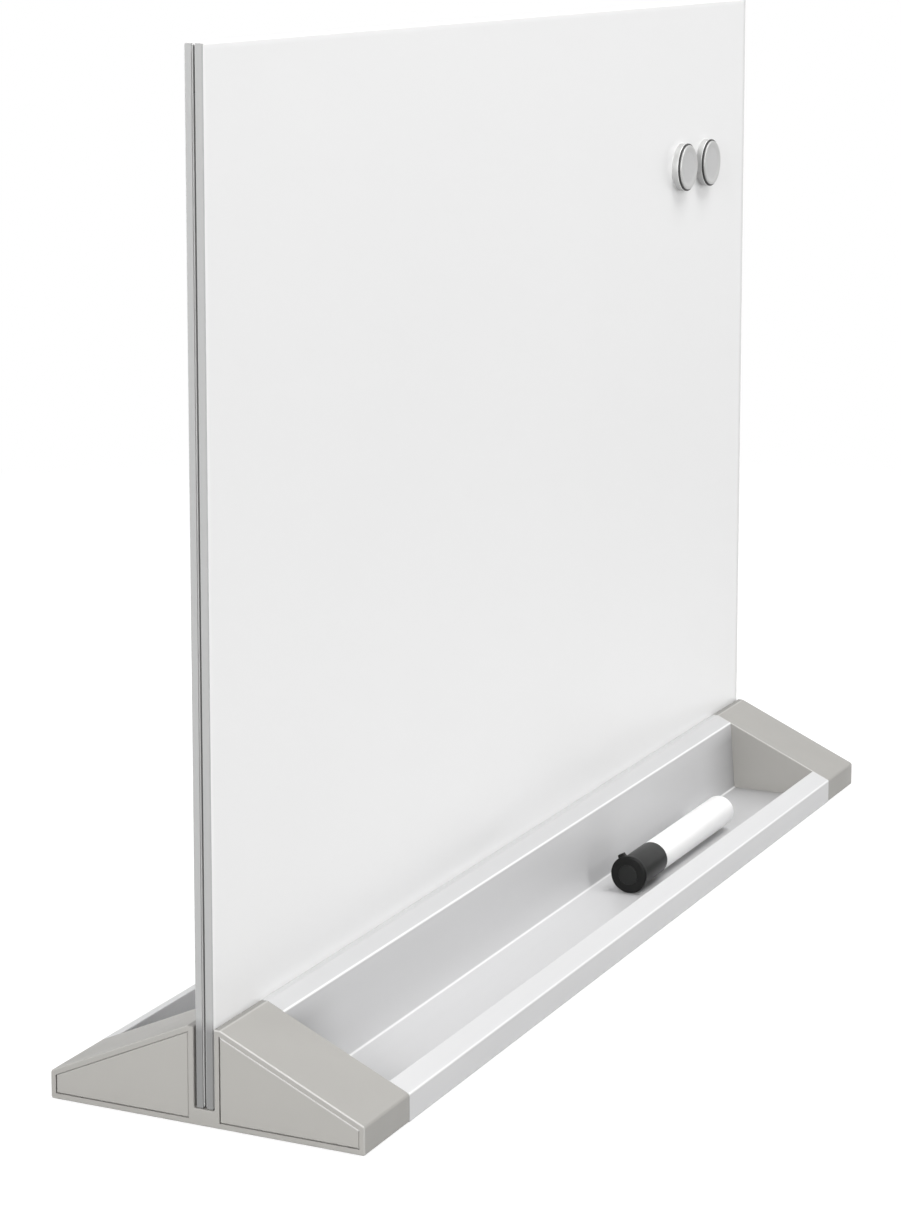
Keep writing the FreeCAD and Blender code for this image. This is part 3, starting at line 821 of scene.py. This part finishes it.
class FinishBase(bpy.types.Operator):
    """Give the profile, end caps, cover plates, lining, screws and feet their finishes"""

    bl_idname = "deskboard.finish_base"
    bl_label = "Finish base"

    def execute(self, context):
        look = context.scene.deskboard_base
        marks = profile_marks(look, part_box("base_extrusion")[1])
        dress(drawn_metal("Anodised aluminium", look.profile_colour, "profile",
                          marked=marks, Metallic=0.12), "base_extrusion")
        for side in SIDES:
            cap = f"end_cap_{side}"
            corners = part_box(cap)
            dress(moulded(f"Cap plastic {side}", look.cap_colour, "end cap",
                          marked=cap_marks(look, *corners)), cap)
            dress(moulded(f"Cover plastic {side}", look.cover_colour, "cover plate",
                          marked=cover_marks(look, *corners)),
                  f"cover_plate_{side}_front", f"cover_plate_{side}_back")
        dress(moulded("Lining rubber", look.liner_colour, "lining"), "slot_liner")
        dress(moulded("Foot rubber", look.foot_colour, "foot", grain=1500.0, depth=2e-5), "rubber_feet")
        dress(drawn_metal("Plated screw", look.screw_colour, "screw", Metallic=1.0),
              "cap_screws_left", "cap_screws_right")
        return {"FINISHED"}


class FinishBoard(bpy.types.Operator):
    """Give the glass panels, steel sheets and foam tape their finishes"""

    bl_idname = "deskboard.finish_board"
    bl_label = "Finish board"

    def execute(self, context):
        look = context.scene.deskboard_board
        glass = painted_glass("White glass", look, "glass_panel_front")
        dress(glass, "glass_panel_front", "glass_panel_back")
        dress(drawn_metal("Zinc-coated sheet", look.steel_colour, "steel sheet", Metallic=0.3),
              "steel_sheet_front", "steel_sheet_back")
        dress(moulded("Foam tape", look.tape_colour, "foam tape", grain=1800.0, depth=6e-5, tone=0.2),
              "bonding_tape")
        return {"FINISHED"}


class MakeMagnets(bpy.types.Operator):
    """Turn both disc magnets: polished body, grip ring and plated core"""

    bl_idname = "deskboard.make_magnets"
    bl_label = "Make magnets"

    def execute(self, context):
        look = context.scene.deskboard_magnet
        for side in SIDES:
            self.make(look, side)
        return {"FINISHED"}

    def make(self, look, side):
        housing = f"magnet_housing_{side}"
        low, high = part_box(housing)
        centre = Vector(((low.x + high.x) / 2, high.y, (low.z + high.z) / 2))
        place = Matrix.Translation(centre) @ Matrix.Rotation(-math.pi / 2, 4, "Z")
        body = f"{side}_magnet"
        ring_low, ring_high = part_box(f"magnet_ring_{side}")
        core_low, core_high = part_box(f"magnet_core_{side}")
        core_radius = (core_high.x - core_low.x) / 2
        core_depth = core_high.y - core_low.y
        radius = (high.x - low.x) / 2
        groove = radius - look.groove_depth
        face = radius - look.face_inset
        dish = face - look.face_rim
        dish_floor = dish - look.dish_slope
        waist, shoulder, front = high.y - ring_high.y, high.y - ring_low.y, high.y - low.y
        broad_round = 1.5 * look.edge_round
        plating = turned_metal(
            f"Polished plating {side}", look.plating_colour, "magnet body", look, centre,
            face=look.face_colour, face_radius=dish_floor, rims=(0.0, waist),
        )
        as_piece(turned([
            (core_depth, 0.0), (core_depth, core_radius), (0.0, core_radius), (0.0, radius),
            (waist, radius), (waist, groove), (shoulder, groove), (shoulder, face),
            (front, face), (front, dish), (front - look.dish_depth, dish_floor),
            (front - look.dish_depth, 0.0),
        ], look.segments, [(3, broad_round), (4, look.edge_round), (8, broad_round),
                           (9, look.edge_round), (10, look.edge_round)]),
            f"polished_body_{side}", place, plating, body, housing)
        rubber = moulded(f"Grip rubber {side}", look.ring_colour, "grip ring", grain=5000.0)
        as_piece(turned([
            (waist, groove), (waist, radius), (shoulder, radius), (shoulder, groove),
        ], look.segments, [(1, look.fine_round), (2, look.edge_round)], closed=True),
            f"grip_ring_{side}", place, rubber, body, f"magnet_ring_{side}")
        nickel = turned_metal(f"Nickel plating {side}", look.core_colour, "magnet core", look, centre)
        as_piece(turned([
            (0.0, 0.0), (0.0, core_radius), (core_depth, core_radius), (core_depth, 0.0),
        ], look.core_segments, [(1, look.fine_round)]),
            f"plated_core_{side}", place, nickel, body, f"magnet_core_{side}")


class MakeMarker(bpy.types.Operator):
    """Turn the marker's cap and barrel, and finish its nib holder, nib and reservoir"""

    bl_idname = "deskboard.make_marker"
    bl_label = "Make marker"

    def execute(self, context):
        look = context.scene.deskboard_marker
        self.make_cap(look)
        self.make_barrel(look)
        self.make_holder(look)
        dress(moulded("Reservoir fibre", look.fibre_colour, "reservoir"), "marker_ink_reservoir")
        return {"FINISHED"}

    def place(self):
        """From the marker's own axis to where it lies in the tray."""
        low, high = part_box("marker_barrel")
        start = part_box("marker_cap")[0].x
        return Matrix.Translation((start, (low.y + high.y) / 2, (low.z + high.z) / 2))

    def make_cap(self, look):
        low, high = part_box("marker_cap")
        cap_length = high.x - low.x
        barrel_low, barrel_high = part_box("marker_barrel")
        axis_height = (barrel_low.z + barrel_high.z) / 2
        collar = axis_height - low.z
        radius = look.body_diameter / 2
        bore = radius - look.wall
        disc = look.disc_diameter / 2
        face = look.disc_height
        cup = turned([
            (0.0, 0.0), (0.0, disc), (face, disc), (face, collar), (look.collar_length, collar),
            (look.collar_length, radius), (cap_length, radius), (cap_length, bore),
            (look.end_wall, bore), (look.end_wall, 0.0),
        ], look.segments, [(1, look.fine_round), (3, look.collar_round), (4, look.fine_round),
                           (6, look.fine_round)])
        self.add_fin(cup, look, radius)
        as_piece(cup, "cap_shell", self.place(),
                 moulded("Cap gloss", look.cap_colour, "marker cap", depth=2e-6, Specular_IOR_Level=0.15,
                         marked=collar_marks(look, self.place().translation)),
                 "pen_cap", "marker_cap")

    def add_fin(self, cup, look, root):
        """Adds the small lug by the closed end that stops the marker rolling."""
        long, wide, crest = look.fin_size
        front = look.disc_height + look.fin_set_back
        box = Matrix.Translation((front + long / 2, 0.0, (root - look.wall / 2 + crest) / 2))
        box = box @ Matrix.Diagonal((long, wide, crest - root + look.wall / 2, 1.0))
        fin = bmesh.ops.create_cube(cup, size=1.0, matrix=box)["verts"]
        middle = front + long / 2
        for point in fin:
            if point.co.z > root:
                point.co.x -= math.copysign(look.fin_slope, point.co.x - middle)
        edges = list({edge for point in fin for edge in point.link_edges})
        rounded = bmesh.ops.bevel(
            cup, geom=edges, offset=look.fin_round, offset_type="OFFSET",
            segments=FIN_ROUND_FACES, profile=0.5, affect="EDGES", material=-1,
        )
        bmesh.ops.rotate(
            cup, cent=(0, 0, 0), matrix=Matrix.Rotation(-look.fin_tilt, 3, "X"), verts=rounded["verts"],
        )

    def make_barrel(self, look):
        low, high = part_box("marker_barrel")
        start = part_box("marker_cap")[0].x
        radius = (high.y - low.y) / 2
        bore = radius - look.barrel_wall
        mouth, end = low.x - start, high.x - start
        inner_end = end - look.barrel_end_wall
        as_piece(turned([
            (mouth, bore), (mouth, radius), (end, radius), (end, 0.0),
            (inner_end, 0.0), (inner_end, bore),
        ], look.segments, [(1, look.mouth_round), (2, look.barrel_end_round)], closed=True),
            "barrel_shell", self.place(),
            moulded("Barrel gloss", look.barrel_colour, "barrel", depth=1e-6, tone=0.01,
                    Subsurface_Weight=0.3, Subsurface_Radius=(1.0, 1.0, 1.0), Subsurface_Scale=0.004),
            "marker", "marker_barrel")

    def make_holder(self, look):
        dress(moulded("Holder plastic", look.holder_colour, "nib holder"), "marker_nib_holder")
        dress(moulded("Felt nib", look.nib_colour, "nib", grain=4000.0, depth=4e-5), "marker_nib")


class MakeStage(bpy.types.Operator):
    """Make the floor, the lamps, the world and the camera"""

    bl_idname = "deskboard.make_stage"
    bl_label = "Make stage"

    def execute(self, context):
        look = context.scene.deskboard_stage
        self.make_floor()
        self.make_world(context.scene, look)
        for name, power, place, size in LAMPS:
            self.make_lamp(name, getattr(look, power), place, size)
        self.make_camera(context.scene, look)
        context.scene.view_settings.view_transform = "Standard"
        return {"FINISHED"}

    def seen_directly(self, tree):
        """1 for rays that come from the camera, a mirror or glass, and 0 for those that light."""
        path = tree.nodes.new("ShaderNodeLightPath").outputs
        first = maths(tree, "MAXIMUM", path["Is Camera Ray"], path["Is Glossy Ray"])
        return maths(tree, "MAXIMUM", first, path["Is Transmission Ray"])

    def make_floor(self):
        mesh = bmesh.new()
        bmesh.ops.create_grid(mesh, x_segments=1, y_segments=1, size=FLOOR_HALF)
        data = bpy.data.meshes.new("Floor")
        mesh.to_mesh(data)
        mesh.free()
        material = bpy.data.materials.new("White floor")
        material.use_nodes = True
        tree = material.node_tree
        tree.nodes.clear()
        bounce, shade = (
            node(tree, "ShaderNodeBsdfDiffuse", [("Color", (grey, grey, grey, 1.0))]).outputs[0]
            for grey in (FLOOR_BOUNCE, FLOOR_SHADE)
        )
        glow, plain = (
            node(tree, "ShaderNodeEmission", [("Strength", light)]).outputs[0]
            for light in (FLOOR_GLOW, 1.0)
        )
        near = node(tree, "ShaderNodeAddShader", [(0, glow), (1, shade)]).outputs[0]
        far = remapped(tree, vector_maths(tree, "LENGTH", place_of(tree)), 0.0, 1.0, *FLOOR_FADE)
        ground = node(tree, "ShaderNodeMixShader", [(0, far), (1, near), (2, plain)]).outputs[0]
        direct = self.seen_directly(tree)
        seen = node(tree, "ShaderNodeMixShader", [(0, direct), (1, bounce), (2, ground)])
        node(tree, "ShaderNodeOutputMaterial", [("Surface", seen.outputs[0])])
        data.materials.append(material)
        floor = bpy.data.objects.new("Floor", data)
        bpy.context.scene.collection.objects.link(floor)

    def make_world(self, scene, look):
        world = bpy.data.worlds.new("White room")
        scene.world = world
        world.use_nodes = True
        tree = world.node_tree
        tree.nodes.clear()
        right = split(tree, node(tree, "ShaderNodeTexCoord").outputs["Generated"])["X"]
        lobe = maths(tree, "POWER", maths(tree, "MAXIMUM", right, 0.0), SIDE_LIGHT_CURVE)
        light = maths(tree, "ADD", product(tree, lobe, look.side_light), look.ambient)
        lit, white = (
            node(tree, "ShaderNodeBackground", [("Color", WHITE), ("Strength", amount)]).outputs[0]
            for amount in (light, 1.0)
        )
        direct = self.seen_directly(tree)
        seen = node(tree, "ShaderNodeMixShader", [(0, direct), (1, lit), (2, white)])
        node(tree, "ShaderNodeOutputWorld", [("Surface", seen.outputs[0])])

    def make_lamp(self, name, power, place, size):
        """Square lamp that faces the board."""
        data = bpy.data.lights.new(name, "AREA")
        data.size = size
        data.energy = power
        lamp = bpy.data.objects.new(name, data)
        lamp.location = place
        towards = Vector(LAMP_TARGET) - lamp.location
        lamp.rotation_euler = towards.to_track_quat("-Z", "Y").to_euler()
        bpy.context.scene.collection.objects.link(lamp)

    def make_camera(self, scene, look):
        data = bpy.data.cameras.new("Camera")
        data.lens = look.lens
        data.shift_y = look.shift
        camera = bpy.data.objects.new("Camera", data)
        camera.location = look.camera_place
        turn, drop = look.camera_turn, look.camera_drop
        level = math.cos(drop)
        ahead = Vector((math.cos(turn) * level, math.sin(turn) * level, -math.sin(drop)))
        camera.rotation_euler = ahead.to_track_quat("-Z", "Y").to_euler()
        scene.collection.objects.link(camera)
        scene.camera = camera


class DeskBoardPanel(bpy.types.Panel):
    """Lists the pieces and their settings"""

    bl_idname = "DESKBOARD_PT_pieces"
    bl_label = "Desk board"
    bl_space_type = "VIEW_3D"
    bl_region_type = "UI"
    bl_category = "Desk board"

    def draw(self, context):
        for operator, settings in PIECES:
            box = self.layout.box()
            box.operator(operator.bl_idname)
            group = getattr(context.scene, settings)
            for name in group.bl_rna.properties.keys():
                if name not in ("rna_type", "name"):
                    box.prop(group, name)


PIECES = (
    (FinishBase, "deskboard_base"),
    (FinishBoard, "deskboard_board"),
    (MakeMagnets, "deskboard_magnet"),
    (MakeMarker, "deskboard_marker"),
    (MakeStage, "deskboard_stage"),
)
SETTINGS = {
    "deskboard_base": BaseSettings,
    "deskboard_board": BoardSettings,
    "deskboard_magnet": MagnetSettings,
    "deskboard_marker": MarkerSettings,
    "deskboard_stage": StageSettings,
}


def register():
    for name, group in SETTINGS.items():
        bpy.utils.register_class(group)
        setattr(bpy.types.Scene, name, PointerProperty(type=group))
    for operator, _ in PIECES:
        bpy.utils.register_class(operator)
    bpy.utils.register_class(DeskBoardPanel)


def unregister():
    bpy.utils.unregister_class(DeskBoardPanel)
    for operator, _ in PIECES:
        bpy.utils.unregister_class(operator)
    for name, group in SETTINGS.items():
        delattr(bpy.types.Scene, name)
        bpy.utils.unregister_class(group)


def main():
    register()
    bpy.ops.deskboard.finish_base()
    bpy.ops.deskboard.finish_board()
    bpy.ops.deskboard.make_magnets()
    bpy.ops.deskboard.make_marker()
    bpy.ops.deskboard.make_stage()


if __name__ == "__main__":
    main()
